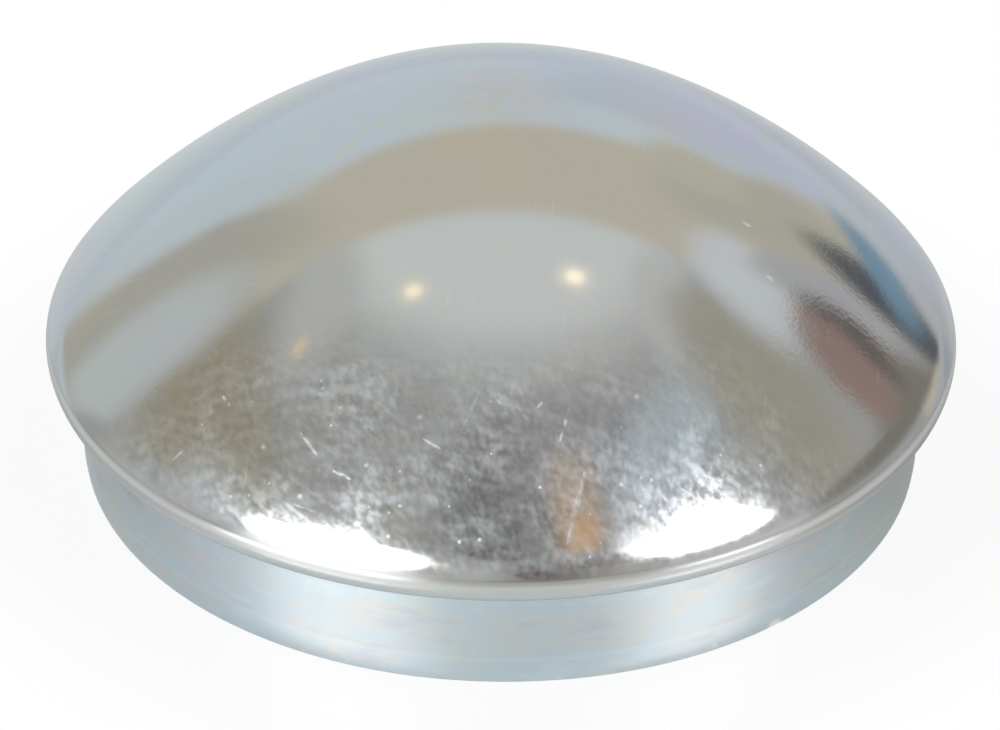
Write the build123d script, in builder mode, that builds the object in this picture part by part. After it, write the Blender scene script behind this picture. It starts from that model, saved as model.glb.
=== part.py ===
"""Hub grease cap: one round of sheet steel, pressed to a dome whose rim is folded under into a press-fit skirt.

The whole cap is one sheet of even thickness.  Its section is drawn as an outside line and an inside line that
run side by side one sheet thickness apart, and is turned once about +Z.  Z = 0 is the cut edge of the skirt,
on which the cap stands, and +Z points out of the hub.  Sizes are in millimetres and degrees.
"""

import math
import os

from build123d import *

# Sheet and skirt
sheet = 0.8  # thickness of the pressed sheet
skirt_diameter = 55.5  # outside, what presses into the hub
seat_height = 7.4  # cut edge to the ring face that stops on the hub
lead_in_depth = 0.16  # how far the skirt draws in at its cut edge
lead_in_height = 1.55  # length of skirt over which it draws in
edge_break = 0.12  # rounding left on both sides of the cut edge by tumbling

# Folded rim
root_radius = 0.4  # outside corner between skirt and ring face
seat_width = 0.55  # flat of the ring face
bend_radius = 0.5  # inside of the fold
rim_slope = 57.4  # slope of the sheet where the fold begins

# Dome
crown_height = 17.9  # ring face to the top of the dome
crown_slope = 34.4  # slope where the round crown meets the flatter flank
flank_slope = 47.5  # slope where the flank meets the shoulder
shoulder_radius = 9.8  # outside radius of the shoulder above the fold


def sines(low, high):
    """Radial reach, per unit radius, of an arc between two slopes."""
    return math.sin(math.radians(high)) - math.sin(math.radians(low))


def drops(low, high):
    """Height lost, per unit radius, over an arc between two slopes."""
    return math.cos(math.radians(low)) - math.cos(math.radians(high))


# Radii and heights that follow from the sizes above
skirt_radius = skirt_diameter / 2
fold_radius = sheet + bend_radius
fold_centre_radius = skirt_radius + root_radius + seat_width
top = seat_height + crown_height
lead_in_radius = (lead_in_height**2 + lead_in_depth**2) / (2 * lead_in_depth)
lead_in_angle = math.degrees(math.asin(lead_in_height / lead_in_radius))
inner_lead_in_angle = math.degrees(math.asin(lead_in_height / (lead_in_radius - sheet)))

# Crown and flank radii, from the reach and the height the two arcs have left to cover
reach = (
    fold_centre_radius
    + fold_radius * math.sin(math.radians(rim_slope))
    - shoulder_radius * sines(flank_slope, rim_slope)
)
height = (
    crown_height
    - fold_radius
    - fold_radius * math.cos(math.radians(rim_slope))
    - shoulder_radius * drops(flank_slope, rim_slope)
)
crown_reach = sines(0, crown_slope)
crown_drop = drops(0, crown_slope)
flank_reach = sines(crown_slope, flank_slope)
flank_drop = drops(crown_slope, flank_slope)
determinant = crown_reach * flank_drop - flank_reach * crown_drop
crown_radius = (reach * flank_drop - flank_reach * height) / determinant
flank_radius = (crown_reach * height - crown_drop * reach) / determinant

with BuildPart() as grease_cap:
    with BuildSketch(Plane.XZ) as section:
        with BuildLine():
            # Outside, from the top of the dome to the cut edge
            crown = JernArc((0, top), (1, 0), crown_radius, -crown_slope)
            flank = JernArc(crown @ 1, crown % 1, flank_radius, crown_slope - flank_slope)
            shoulder = JernArc(flank @ 1, flank % 1, shoulder_radius, flank_slope - rim_slope)
            fold = JernArc(shoulder @ 1, shoulder % 1, fold_radius, rim_slope - 180)
            seat = Line(fold @ 1, (skirt_radius + root_radius, seat_height))
            root = JernArc(seat @ 1, (-1, 0), root_radius, 90)
            wall = Line(root @ 1, (skirt_radius, lead_in_height))
            lead_in = JernArc(wall @ 1, (0, -1), lead_in_radius, -lead_in_angle)

            # Inside, one sheet thickness further in
            inner_crown = JernArc((0, top - sheet), (1, 0), crown_radius - sheet, -crown_slope)
            inner_flank = JernArc(
                inner_crown @ 1, inner_crown % 1, flank_radius - sheet, crown_slope - flank_slope
            )
            inner_shoulder = JernArc(
                inner_flank @ 1, inner_flank % 1, shoulder_radius - sheet, flank_slope - rim_slope
            )
            inner_fold = JernArc(inner_shoulder @ 1, inner_shoulder % 1, bend_radius, rim_slope - 180)
            inner_seat = Line(inner_fold @ 1, (skirt_radius + root_radius, seat_height + sheet))
            inner_root = JernArc(inner_seat @ 1, (-1, 0), root_radius + sheet, 90)
            inner_wall = Line(inner_root @ 1, (skirt_radius - sheet, lead_in_height))
            inner_lead_in = JernArc(inner_wall @ 1, (0, -1), lead_in_radius - sheet, -inner_lead_in_angle)

            # The cut edge, and the axis
            Line(lead_in @ 1, inner_lead_in @ 1)
            Line(crown @ 0, inner_crown @ 0)
        make_face()
        cut_edge = section.vertices().group_by(Axis.Y)[0]
        fillet(cut_edge, radius=edge_break)
    revolve(axis=Axis.Z)

grease_cap.part.label = "grease_cap"

if __name__ == "__main__":
    os.makedirs("parts", exist_ok=True)
    export_step(grease_cap.part, "parts/grease_cap.step")
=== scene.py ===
"""Hub grease cap: one pressed sheet of zinc-plated steel, standing on a pale floor in soft studio light.

The cap is one lathe mesh of the same section as the CAD node that it stands for.  Lengths in the
dataclasses are millimetres and angles are degrees; meshes, lamps and the camera are made in metres.
"""

import logging
import math
from dataclasses import dataclass
from enum import Enum
from typing import Optional, Union

import bpy
from mathutils import Matrix, Vector

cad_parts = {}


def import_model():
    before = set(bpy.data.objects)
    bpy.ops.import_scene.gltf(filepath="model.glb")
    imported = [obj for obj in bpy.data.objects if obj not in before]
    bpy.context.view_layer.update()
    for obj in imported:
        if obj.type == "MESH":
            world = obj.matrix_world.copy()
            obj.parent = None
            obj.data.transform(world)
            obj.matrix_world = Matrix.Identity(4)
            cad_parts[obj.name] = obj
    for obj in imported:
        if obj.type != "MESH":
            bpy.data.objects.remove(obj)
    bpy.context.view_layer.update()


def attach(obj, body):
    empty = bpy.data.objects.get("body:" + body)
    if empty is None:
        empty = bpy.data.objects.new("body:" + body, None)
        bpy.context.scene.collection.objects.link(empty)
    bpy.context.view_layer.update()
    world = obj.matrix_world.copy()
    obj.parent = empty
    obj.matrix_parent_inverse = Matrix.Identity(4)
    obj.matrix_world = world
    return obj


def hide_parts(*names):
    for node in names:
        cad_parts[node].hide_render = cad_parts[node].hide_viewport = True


LOG = logging.getLogger("grease_cap")
MM = 0.001
TINY = 1e-9
Pair = tuple[float, float]
Triple = tuple[float, float, float]
Socket = bpy.types.NodeSocket
Tree = bpy.types.NodeTree
Value = Union[Socket, float, tuple]
WHITE: Triple = (1.0, 1.0, 1.0)


class Zone(Enum):
    """Which stretch of the sheet a point of the section lies on; each has its own island in the map."""

    OUTER_DOME = "outer dome and fold"
    OUTER_SKIRT = "outer skirt and cut edge"
    INNER_SKIRT = "inner skirt"
    INNER_DOME = "inner dome and fold"


class Kind(Enum):
    """Socket kinds of a node group."""

    VALUE = "NodeSocketFloat"
    VECTOR = "NodeSocketVector"
    COLOUR = "NodeSocketColor"


# Section and mesh of the cap


@dataclass(frozen=True)
class CapSizes:
    """Sizes of the pressed cap, the same as in the part's source."""

    sheet: float = 0.8
    skirt_diameter: float = 55.5
    seat_height: float = 7.4
    lead_in_depth: float = 0.16
    lead_in_height: float = 1.55
    edge_break: float = 0.12
    root_radius: float = 0.4
    seat_width: float = 0.55
    bend_radius: float = 0.5
    rim_slope: float = 57.4
    crown_height: float = 17.9
    crown_slope: float = 34.4
    flank_slope: float = 47.5
    shoulder_radius: float = 9.8


@dataclass(frozen=True)
class SectionPoint:
    """A point of the section and its outward normal, as (radius, height), and its place along the sheet."""

    place: Pair
    normal: Pair
    zone: Zone
    run: float


def reach(low: float, high: float) -> float:
    """Radial reach of an arc of radius one between two slopes."""
    return math.sin(math.radians(high)) - math.sin(math.radians(low))


def drop(low: float, high: float) -> float:
    """Height lost over an arc of radius one between two slopes."""
    return math.cos(math.radians(low)) - math.cos(math.radians(high))


class CapSection:
    """The cap's closed section as a chain of points, from the top outside to the top inside."""

    OUTER_DOME_STEPS = (44, 22, 8, 26)
    INNER_DOME_STEPS = (24, 12, 5, 14)
    OUTER_SKIRT_STEPS = (10, 14, 10)
    INNER_SKIRT_STEPS = (8, 6, 6)
    EDGE_STEPS = 5

    def __init__(self, sizes: CapSizes) -> None:
        """Works out the dome's radii.

        Args:
            sizes: the driving sizes.
        """
        self.sizes = sizes
        s = sizes
        self.skirt_radius = s.skirt_diameter / 2
        self.fold_radius = s.sheet + s.bend_radius
        self.fold_centre = self.skirt_radius + s.root_radius + s.seat_width
        across = (
            self.fold_centre
            + self.fold_radius * reach(0, s.rim_slope)
            - s.shoulder_radius * reach(s.flank_slope, s.rim_slope)
        )
        down = (
            s.crown_height
            - self.fold_radius
            - self.fold_radius * math.cos(math.radians(s.rim_slope))
            - s.shoulder_radius * drop(s.flank_slope, s.rim_slope)
        )
        crown_reach, crown_drop = reach(0, s.crown_slope), drop(0, s.crown_slope)
        flank_reach, flank_drop = reach(s.crown_slope, s.flank_slope), drop(s.crown_slope, s.flank_slope)
        determinant = crown_reach * flank_drop - flank_reach * crown_drop
        self.crown_radius = (across * flank_drop - flank_reach * down) / determinant
        self.flank_radius = (crown_reach * down - crown_drop * across) / determinant

    def dome(self, inset: float, steps: tuple[int, int, int, int]) -> list[tuple]:
        """The dome and the fold, from the axis outwards.

        Args:
            inset: 0 on the outside, the sheet's thickness on the inside.
            steps: points on the crown, flank, shoulder and fold.

        Returns:
            Pairs of place and slope, the slope as an angle from the axis.
        """
        s = self.sizes
        arcs = (
            (self.crown_radius, 0.0, s.crown_slope),
            (self.flank_radius, s.crown_slope, s.flank_slope),
            (s.shoulder_radius, s.flank_slope, s.rim_slope),
            (self.fold_radius, s.rim_slope, 180.0),
        )
        radius, height = 0.0, s.seat_height + s.crown_height - inset
        found = [((radius, height), 0.0)]
        for (size, low, high), count in zip(arcs, steps):
            size -= inset
            for k in range(1, count + 1):
                slope = low + (high - low) * k / count
                place = (radius + size * reach(low, slope), height - size * drop(low, slope))
                found.append((place, slope))
            radius, height = found[-1][0]
        return found

    def skirt(self, inset: float, steps: tuple[int, int, int]) -> list[tuple]:
        """The corner under the fold, the straight wall and the lead-in, downwards.

        Args:
            inset: 0 on the outside, the sheet's thickness on the inside.
            steps: points on the corner, wall and lead-in.

        Returns:
            Pairs of place and slope.
        """
        s = self.sizes
        corner = s.root_radius + inset
        centre = (self.skirt_radius + s.root_radius, s.seat_height - s.root_radius)
        found = [((centre[0], centre[1] + corner), 180.0)]
        for k in range(1, steps[0] + 1):
            turn = math.radians(90.0 * k / steps[0])
            place = (centre[0] - corner * math.sin(turn), centre[1] + corner * math.cos(turn))
            found.append((place, 180.0 - math.degrees(turn)))
        wall = self.skirt_radius - inset
        for k in range(1, steps[1] + 1):
            height = centre[1] + (s.lead_in_height - centre[1]) * k / steps[1]
            found.append(((wall, height), 90.0))
        curve = (s.lead_in_height**2 + s.lead_in_depth**2) / (2 * s.lead_in_depth)
        lean = s.lead_in_height / curve
        lowest = s.edge_break * (1.0 + lean * (1 if inset == 0 else -1))
        last = math.asin((s.lead_in_height - lowest) / (curve - inset))
        for k in range(1, steps[2] + 1):
            turn = last * k / steps[2]
            place = (
                self.skirt_radius - curve + (curve - inset) * math.cos(turn),
                s.lead_in_height - (curve - inset) * math.sin(turn),
            )
            found.append((place, 90.0 + math.degrees(turn)))
        return found

    def cut_edge(self, start: tuple, end: tuple) -> list[tuple]:
        """The rounded cut edge between the outer and the inner lead-in.

        Args:
            start: last place and slope of the outer lead-in.
            end: last place and slope of the inner lead-in, its slope counted as on the outside.

        Returns:
            Pairs of place and slope, without the two ends.
        """
        found = []
        for (radius, height), low, high, joint in (
            (start[0], start[1], 180.0, start[1]),
            (end[0], 180.0, 180.0 + end[1], 180.0 + end[1]),
        ):
            size = height / abs(drop(low, high))
            centre = radius - size * math.sin(math.radians(joint))
            for k in range(self.EDGE_STEPS + 1):
                slope = low + (high - low) * k / self.EDGE_STEPS
                angle = math.radians(slope)
                found.append(((centre + size * math.sin(angle), size + size * math.cos(angle)), slope))
        return found[1:-1]

    def points(self) -> list[SectionPoint]:
        """The whole section, once round the sheet.

        Returns:
            Points from the top outside, round the cut edge, to the top inside.
        """
        s = self.sizes
        outer_dome = self.dome(0.0, self.OUTER_DOME_STEPS)
        outer_skirt = self.skirt(0.0, self.OUTER_SKIRT_STEPS)
        inner_skirt = self.skirt(s.sheet, self.INNER_SKIRT_STEPS)
        inner_dome = self.dome(s.sheet, self.INNER_DOME_STEPS)
        edge = self.cut_edge(outer_skirt[-1], inner_skirt[-1])
        stretches = (
            (Zone.OUTER_DOME, outer_dome, 1.0),
            (Zone.OUTER_SKIRT, outer_skirt + edge, 1.0),
            (Zone.INNER_SKIRT, inner_skirt[::-1], -1.0),
            (Zone.INNER_DOME, inner_dome[::-1], -1.0),
        )
        found: list[SectionPoint] = []
        run = 0.0
        for zone, stretch, side in stretches:
            for place, slope in stretch:
                angle = math.radians(slope)
                normal = (side * math.sin(angle), side * math.cos(angle))
                if found:
                    run += math.dist(found[-1].place, place)
                found.append(SectionPoint(place, normal, zone, run))
        return found

    def on_dome(self, place: Pair) -> Triple:
        """Finds the place on the outside of the dome that lies below a place seen from above.

        Args:
            place: X and Y, inside the rim.

        Returns:
            X, Y and Z.
        """
        away = math.hypot(*place)
        chain = [point for point, _ in self.dome(0.0, self.OUTER_DOME_STEPS)]
        near, far = next(pair for pair in zip(chain, chain[1:]) if pair[1][0] >= away)
        share = (away - near[0]) / (far[0] - near[0])
        return (*place, near[1] + (far[1] - near[1]) * share)


@dataclass(frozen=True)
class Island:
    """Where one zone lies in the map: a disc if centre is set, otherwise two strips from their corners."""

    scale: float
    centre: Optional[Pair] = None
    corner: Pair = (0.0, 0.0)
    second: Pair = (0.0, 0.0)


ISLANDS = {
    Zone.OUTER_DOME: Island(scale=0.0086, centre=(0.336, 0.336)),
    Zone.OUTER_SKIRT: Island(scale=0.0086, corner=(0.01, 0.69), second=(0.01, 0.785)),
    Zone.INNER_SKIRT: Island(scale=0.0052, corner=(0.01, 0.885), second=(0.5, 0.885)),
    Zone.INNER_DOME: Island(scale=0.0040, centre=(0.84, 0.16)),
}


class LatheMesh:
    """Turns a section about +Z into a mesh with true normals and a map for baking."""

    def __init__(self, section: CapSection, around: int) -> None:
        """Keeps what the mesh is made from.

        Args:
            section: the closed section.
            around: faces in one ring.
        """
        self.points = section.points()
        self.around = around
        self.step = 2 * math.pi / around
        self.skirt_radius = section.skirt_radius
        runs = {zone: [p.run for p in self.points if p.zone is zone] for zone in Zone}
        self.runs = {zone: (min(found), max(found)) for zone, found in runs.items()}

    def build(self, name: str) -> bpy.types.Mesh:
        """Makes the mesh, with one point where each surface meets the axis.

        Args:
            name: the mesh's name.

        Returns:
            The mesh, in metres.
        """
        places: list[Triple] = []
        normals: list[Triple] = []
        first: list[int] = []
        for point in self.points:
            first.append(len(places))
            radius, height = point.place
            for k in range(1 if radius < TINY else self.around):
                x, y = math.cos(self.step * k), math.sin(self.step * k)
                places.append((radius * x * MM, radius * y * MM, height * MM))
                normals.append((point.normal[0] * x, point.normal[0] * y, point.normal[1]))
        faces: list[tuple[int, ...]] = []
        maps: list[Pair] = []
        for k in range(len(self.points) - 1):
            self._ring(k, first, faces, maps)
        mesh = bpy.data.meshes.new(name)
        mesh.from_pydata(places, [], faces)
        layer = mesh.uv_layers.new(name="OFBake")
        layer.data.foreach_set("uv", [c for pair in maps for c in pair])
        mesh.shade_smooth()
        mesh.normals_split_custom_set_from_vertices([Vector(n).normalized() for n in normals])
        mesh.validate()
        LOG.info("%s: %d points, %d faces", name, len(places), len(faces))
        return mesh

    def _ring(self, k: int, first: list[int], faces: list, maps: list) -> None:
        """Adds the faces between ring k and the next.

        Args:
            k: index of the ring.
            first: first vertex of each ring.
            faces: faces so far, added to.
            maps: map places of the faces' corners so far, added to.
        """
        near, far = self.points[k], self.points[k + 1]
        if math.dist(near.place, far.place) < TINY:
            return
        for j in range(self.around):
            seen: list[int] = []
            for ring, point, turn in ((k, near, j), (k + 1, far, j), (k + 1, far, j + 1), (k, near, j + 1)):
                vertex = first[ring] + (0 if point.place[0] < TINY else turn % self.around)
                if vertex not in seen:
                    seen.append(vertex)
                    maps.append(self._map(point, far.zone, turn, j))
            faces.append(tuple(seen))

    def _map(self, point: SectionPoint, zone: Zone, turn: int, face: int) -> Pair:
        """A corner's place in the map.

        Args:
            point: the section point.
            zone: the zone of the face.
            turn: how many faces round the corner lies.
            face: how many faces round the face lies.

        Returns:
            Two map coordinates from 0 to 1.
        """
        island = ISLANDS[zone]
        low, high = self.runs[zone]
        if island.centre is not None:
            away = point.run - low if zone is Zone.OUTER_DOME else high - point.run
            angle = self.step * turn
            size = away * island.scale
            return island.centre[0] + size * math.cos(angle), island.centre[1] + size * math.sin(angle)
        half = self.around // 2
        corner = island.corner if face < half else island.second
        along = (turn if face < half else turn - half) * self.step * self.skirt_radius
        return corner[0] + along * island.scale, corner[1] + (point.run - low) * island.scale


# Shader graphs


@dataclass(frozen=True)
class Noise:
    """A noise: repeats per millimetre, layers of detail, strength of the finer ones, and bend."""

    scale: float
    detail: float = 0.0
    rough: float = 0.5
    bend: float = 0.0


class Graph:
    """Adds nodes to a node tree and links them.

    MIX_INPUTS are the numbers of a Mix node's factor and two colours, MIX_OUTPUT that of its colour.
    """

    MIX_INPUTS = (0, 6, 7)
    MIX_OUTPUT = 2

    def __init__(self, tree: Tree) -> None:
        """Keeps the tree."""
        self.tree = tree

    def put(self, socket: Socket, value: Value) -> None:
        """Links a socket to another, or sets its constant.

        Args:
            socket: the input.
            value: an output socket or a constant; a colour has three parts.
        """
        if isinstance(value, Socket):
            self.tree.links.new(value, socket)
        elif socket.type == "RGBA":
            socket.default_value = (*value, 1.0)
        else:
            socket.default_value = value

    def add(self, kind: str, inputs: Optional[dict] = None, **settings: object) -> bpy.types.Node:
        """Adds a node.

        Args:
            kind: Blender's name of the node.
            inputs: values by input name or number.
            **settings: the node's own properties.

        Returns:
            The node.
        """
        node = self.tree.nodes.new(kind)
        for name, setting in settings.items():
            setattr(node, name, setting)
        for key, value in (inputs or {}).items():
            self.put(node.inputs[key], value)
        return node

    def group(self, tree: Tree, inputs: dict) -> Socket:
        """Adds a node group and gives its first output."""
        return self.add("ShaderNodeGroup", inputs, node_tree=tree).outputs[0]

    def parts(self, point: Value) -> tuple[Socket, ...]:
        """Splits a vector into X, Y and Z."""
        return tuple(self.add("ShaderNodeSeparateXYZ", {0: point}).outputs)

    def math(self, operation: str, *values: Value) -> Socket:
        """Adds a Math node."""
        return self.add("ShaderNodeMath", dict(enumerate(values)), operation=operation).outputs[0]

    def product(self, first: Value, *others: Value) -> Value:
        """Multiplies values."""
        for other in others:
            first = self.math("MULTIPLY", first, other)
        return first

    def lift(self, mask: Value, share: float) -> Socket:
        """Lifts a mask, so that it falls no lower than one less its share."""
        return self.math("MULTIPLY_ADD", mask, share, 1.0 - share)

    def vector(self, operation: str, *values: Value) -> Socket:
        """Adds a Vector Math node.

        Args:
            operation: Blender's name of the operation.
            *values: its inputs in order; for SCALE the second is the factor.

        Returns:
            Its vector, or its value where the operation gives one.
        """
        names = [0, "Scale"] if operation == "SCALE" else range(len(values))
        node = self.add("ShaderNodeVectorMath", dict(zip(names, values)), operation=operation)
        number = operation in ("DOT_PRODUCT", "LENGTH", "DISTANCE")
        return node.outputs["Value" if number else "Vector"]

    def turned(self, point: Value, angle: Value) -> Socket:
        """Turns a point about Z by an angle in radians."""
        inputs = {"Vector": point, "Angle": angle}
        return self.add("ShaderNodeVectorRotate", inputs, rotation_type="Z_AXIS").outputs[0]

    def smooth(self, value: Value, low: Value, high: Value) -> Socket:
        """A smooth step, 0 at low and 1 at high, which may be the smaller of the two."""
        inputs = {"Value": value, "From Min": low, "From Max": high}
        return self.add("ShaderNodeMapRange", inputs, interpolation_type="SMOOTHSTEP").outputs[0]

    def ring(self, value: Value, middle: float, fade: Pair) -> Socket:
        """A soft line about a middle; the fade says how far from it the line is 0, and 1."""
        return self.smooth(self.math("ABSOLUTE", self.math("SUBTRACT", value, middle)), *fade)

    def mix(self, factor: Value, under: Value, over: Value, blend: str = "MIX") -> Socket:
        """Mixes two colours.

        Args:
            factor: share of the second.
            under: the first colour.
            over: the second colour.
            blend: Blender's name of the blend.

        Returns:
            The colour.
        """
        node = self.add("ShaderNodeMix", data_type="RGBA", blend_type=blend)
        for key, value in zip(self.MIX_INPUTS, (factor, under, over)):
            self.put(node.inputs[key], value)
        return node.outputs[self.MIX_OUTPUT]

    def noise(self, point: Value, noise: Noise) -> Socket:
        """Adds a Noise Texture, whose value lies about between 0 and 1."""
        inputs = {"Vector": point, "Scale": noise.scale, "Detail": noise.detail}
        inputs.update({"Roughness": noise.rough, "Distortion": noise.bend})
        return self.add("ShaderNodeTexNoise", inputs).outputs[0]

    def ramp(self, value: Value, stops: tuple) -> Socket:
        """Adds a Color Ramp.

        Args:
            value: where it is read.
            stops: pairs of place and colour.

        Returns:
            The colour.
        """
        node = self.add("ShaderNodeValToRGB", {0: value})
        elements = node.color_ramp.elements
        while len(elements) < len(stops):
            elements.new(0.5)
        for element, (place, colour) in zip(elements, stops):
            element.position = place
            element.color = (*colour, 1.0)
        return node.outputs[0]


class Group(Graph):
    """A shader node group that is being built."""

    def __init__(self, name: str, inputs: dict[str, Kind], outputs: dict[str, Kind]) -> None:
        """Makes the group's tree and sockets.

        Args:
            name: the group's name.
            inputs: kinds by input name.
            outputs: kinds by output name.
        """
        super().__init__(bpy.data.node_groups.new(name, "ShaderNodeTree"))
        for way, sockets in (("INPUT", inputs), ("OUTPUT", outputs)):
            for label, kind in sockets.items():
                self.tree.interface.new_socket(label, in_out=way, socket_type=kind.value)
        self.inputs = self.add("NodeGroupInput").outputs
        self.outputs = self.add("NodeGroupOutput").inputs

    def done(self, *values: Value) -> Tree:
        """Sets the outputs."""
        for socket, value in zip(self.outputs, values):
            self.put(socket, value)
        return self.tree


def cleared(owner: Union[bpy.types.Material, bpy.types.World]) -> Graph:
    """Empties the nodes of a material or a world.

    Args:
        owner: whose nodes they are.

    Returns:
        A graph to add nodes with.
    """
    owner.use_nodes = True
    owner.node_tree.nodes.clear()
    return Graph(owner.node_tree)


# Finish of the cap


@dataclass(frozen=True)
class ZincFinish:
    """Values of the zinc plate: colours are linear, heights are millimetres.

    A fade is the two places, in millimetres, between which an effect grows from none to full.
    """

    base: Triple = (0.70, 0.735, 0.75)
    # skirt is a bluer copy of the base colour for the skirt wall: a painted reflection of the bluish floor it
    # mirrors.
    skirt: Triple = (0.70, 0.77, 0.815)
    vein: Triple = (0.80, 0.70, 0.56)
    # painted_shade is a darker tan painted along the crease and under the fold: painted shade.
    painted_shade: Triple = (0.46, 0.40, 0.32)
    nick: Triple = (0.95, 0.90, 0.84)
    # dark_reflection is a dark tone painted in blotches above the fold at the front: a painted dark
    # reflection.
    dark_reflection: Triple = (0.34, 0.30, 0.31)
    # line is a brightening painted round the skirt where the lead-in starts: a painted highlight.
    line: Triple = (1.14, 1.15, 1.15)
    dark_mottle: Triple = (0.86, 0.845, 0.835)
    pale_mottle: Triple = (1.14, 1.16, 1.19)

    roughness: float = 0.09
    bead_roughness: float = 0.26
    wall_roughness: float = 0.30
    haze_roughness: float = 0.10
    speck_roughness: float = 0.20
    scratch_roughness: float = 0.28
    nick_roughness: float = 0.35
    haze_scatter: float = 0.15
    speck_scatter: float = 1.4
    scratch_scatter: float = 0.4

    tint: float = 0.95
    band_share: float = 0.8
    # Share of the painted highlight line where the lead-in starts.
    glint_share: float = 0.3
    vein_share: float = 0.5
    # Shares of the painted shade along the crease and under the fold.
    crease_shade: float = 0.25
    under_bead_shade: float = 0.22
    dash_share: float = 0.28
    speck_scale: float = 1.6
    speck_size: float = 0.22
    speck_chance: float = 0.15

    wave_height: float = 0.010
    grain_height: float = 0.0024
    grain_right: float = 1.6
    wrinkle_height: float = 0.012

    tint_broad: Noise = Noise(0.05, 1.0, 0.55, 1.4)
    tint_fine: Noise = Noise(1.6, 2.0, 0.7)
    waves: Noise = Noise(0.085)
    grain: Noise = Noise(3.2, 1.0, 0.6)
    wrinkles: Noise = Noise(9.0)
    streaks: Noise = Noise(1.0, 1.0, 0.55)
    bands: Noise = Noise(1.0, 3.0, 0.6)
    band_stretch: Triple = (0.14, 0.14, 0.55)
    cloud: Noise = Noise(0.26, 1.0, 0.6)
    cloud_limits: Pair = (0.30, 0.70)
    broken: Noise = Noise(2.2)
    broken_limits: Pair = (0.22, 0.62)
    patchy: Noise = Noise(0.9, 2.0, 0.65)
    patchy_limits: Pair = (0.30, 0.65)

    back_share: float = 0.5
    blotch_share: float = 0.7
    front_share: float = 0.75
    haze_share: float = 0.86
    haze_front_share: float = 0.8
    hair_share: float = 0.25
    cloud_share: float = 0.85
    cloud_least: float = 0.45
    grain_share: float = 0.85
    grain_front_share: float = 0.7
    dash_rows: float = 1.8
    dash_width: float = 0.05
    dash_spread: float = 0.09
    dash_core: float = 0.3

    # Where the painted highlight line lies on the skirt.
    glint_height: float = 1.85
    glint_fade: Pair = (0.30, 0.05)
    # The crease and under fades place the painted shade: a thin line at the crease, a band under the fold
    # above the seat.
    crease_height: float = 9.36
    crease_fade: Pair = (0.14, 0.02)
    wall_fade: Pair = (8.0, 7.0)
    under_fade: Pair = (8.3, 7.8)
    seat_fade: Pair = (7.3, 7.5)
    bead_fade: Pair = (9.6, 9.0)
    dome_fade: Pair = (9.2, 9.6)

    lean_right: float = 0.1
    lean_sides: float = 0.25
    back_fade: Pair = (-8.0, 8.0)
    front_fade: Pair = (-7.0, -20.0)
    haze_front_fade: Pair = (-4.0, -20.0)
    haze_top_fade: Pair = (21.5, 16.5)
    haze_rim_fade: Pair = (9.0, 10.2)
    grain_front_fade: Pair = (6.0, -10.0)
    grain_right_fade: Pair = (14.0, 22.0)
    grain_top_fade: Pair = (21.5, 16.0)
    grain_rim_fade: Pair = (9.5, 13.5)
    wrinkle_fade: Pair = (13.0, 10.4)


@dataclass(frozen=True)
class Mark:
    """A mark that the photo shows, from start to end as seen from above, or round where it has no end.

    It lies on the dome, unless it has a height of its own.
    """

    start: Pair
    end: Optional[Pair]
    width: float
    strength: float
    height: Optional[float] = None


@dataclass(frozen=True)
class Bloom:
    """A place where the passivate has a colour of its own, fading outwards."""

    centre: Triple
    radius: float
    tone: Triple


@dataclass(frozen=True)
class Dashes:
    """A layer of short scratches: its turn in radians, its share of cells, and cells per millimetre."""

    turn: float
    chance: float
    length: float


@dataclass(frozen=True)
class Streaks:
    """A layer of rubbed streaks: its turn in radians, repeats per millimetre, and the limits of its noise."""

    turn: float
    stretch: Triple
    limits: Pair


@dataclass(frozen=True)
class Wear:
    """Masks of the wear at a point, as sockets of the material's graph."""

    haze: Value
    share: Value
    front: Value
    specks: Value
    scratches: Value
    nicks: Value


SCRATCHES = (
    Mark((5.3, -24.7), (4.2, -28.2), 0.26, 0.45),
    Mark((-0.4, -21.2), (0.0, -21.8), 0.15, 0.60),
    Mark((-1.0, -20.6), (-2.4, -23.1), 0.14, 0.34),
    Mark((2.6, -21.6), (2.3, -21.9), 0.18, 0.68),
    Mark((4.3, -21.7), (3.7, -23.5), 0.15, 0.68),
    Mark((-4.8, -23.3), (-3.7, -23.9), 0.15, 0.68),
    Mark((15.3, -6.0), (15.9, -6.0), 0.22, 1.0),
    Mark((16.9, -9.5), (17.5, -9.5), 0.24, 1.0),
    Mark((-17.5, -17.5), (-17.0, -18.3), 0.16, 0.68),
    Mark((-10.4, -23.9), (-9.2, -24.6), 0.16, 0.60),
    Mark((-12.5, -21.4), (-11.4, -22.9), 0.16, 0.52),
    Mark((-20.7, -19.5), (-19.8, -19.3), 0.14, 0.60),
)

SPOTS = (
    Mark((-5.0, -22.2), None, 0.28, 0.60),
    Mark((-8.3, -24.1), None, 0.24, 0.54),
    Mark((-14.8, -21.4), None, 0.29, 0.54),
    Mark((-12.4, -24.6), None, 0.28, 0.54),
    Mark((8.5, -20.4), None, 0.28, 0.54),
    Mark((-8.8, -26.7), None, 0.24, 0.48),
)

VEINS = (
    Mark((-11.0, -3.6), (-8.8, -0.4), 0.54, 0.8),
    Mark((-8.8, -0.4), (-5.7, 2.1), 0.54, 0.7),
    Mark((-27.5, -7.0), (-26.3, -4.5), 0.63, 0.7),
)

# Dark blotches painted just above the fold at the front: a painted dark reflection.
DARK_REFLECTIONS = (
    Mark((-1.8, -28.8), (2.0, -28.8), 0.5, 0.7),
    Mark((1.0, -29.6), (4.0, -29.4), 0.35, 0.8),
    Mark((4.5, -29.0), (9.0, -27.9), 0.45, 0.6),
)

NICKS = (
    Mark((17.3, -21.4), (17.9, -20.9), 0.55, 1.0, height=0.2),
    Mark((13.6, -24.0), (13.8, -23.9), 0.35, 0.6, height=0.5),
)

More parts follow.
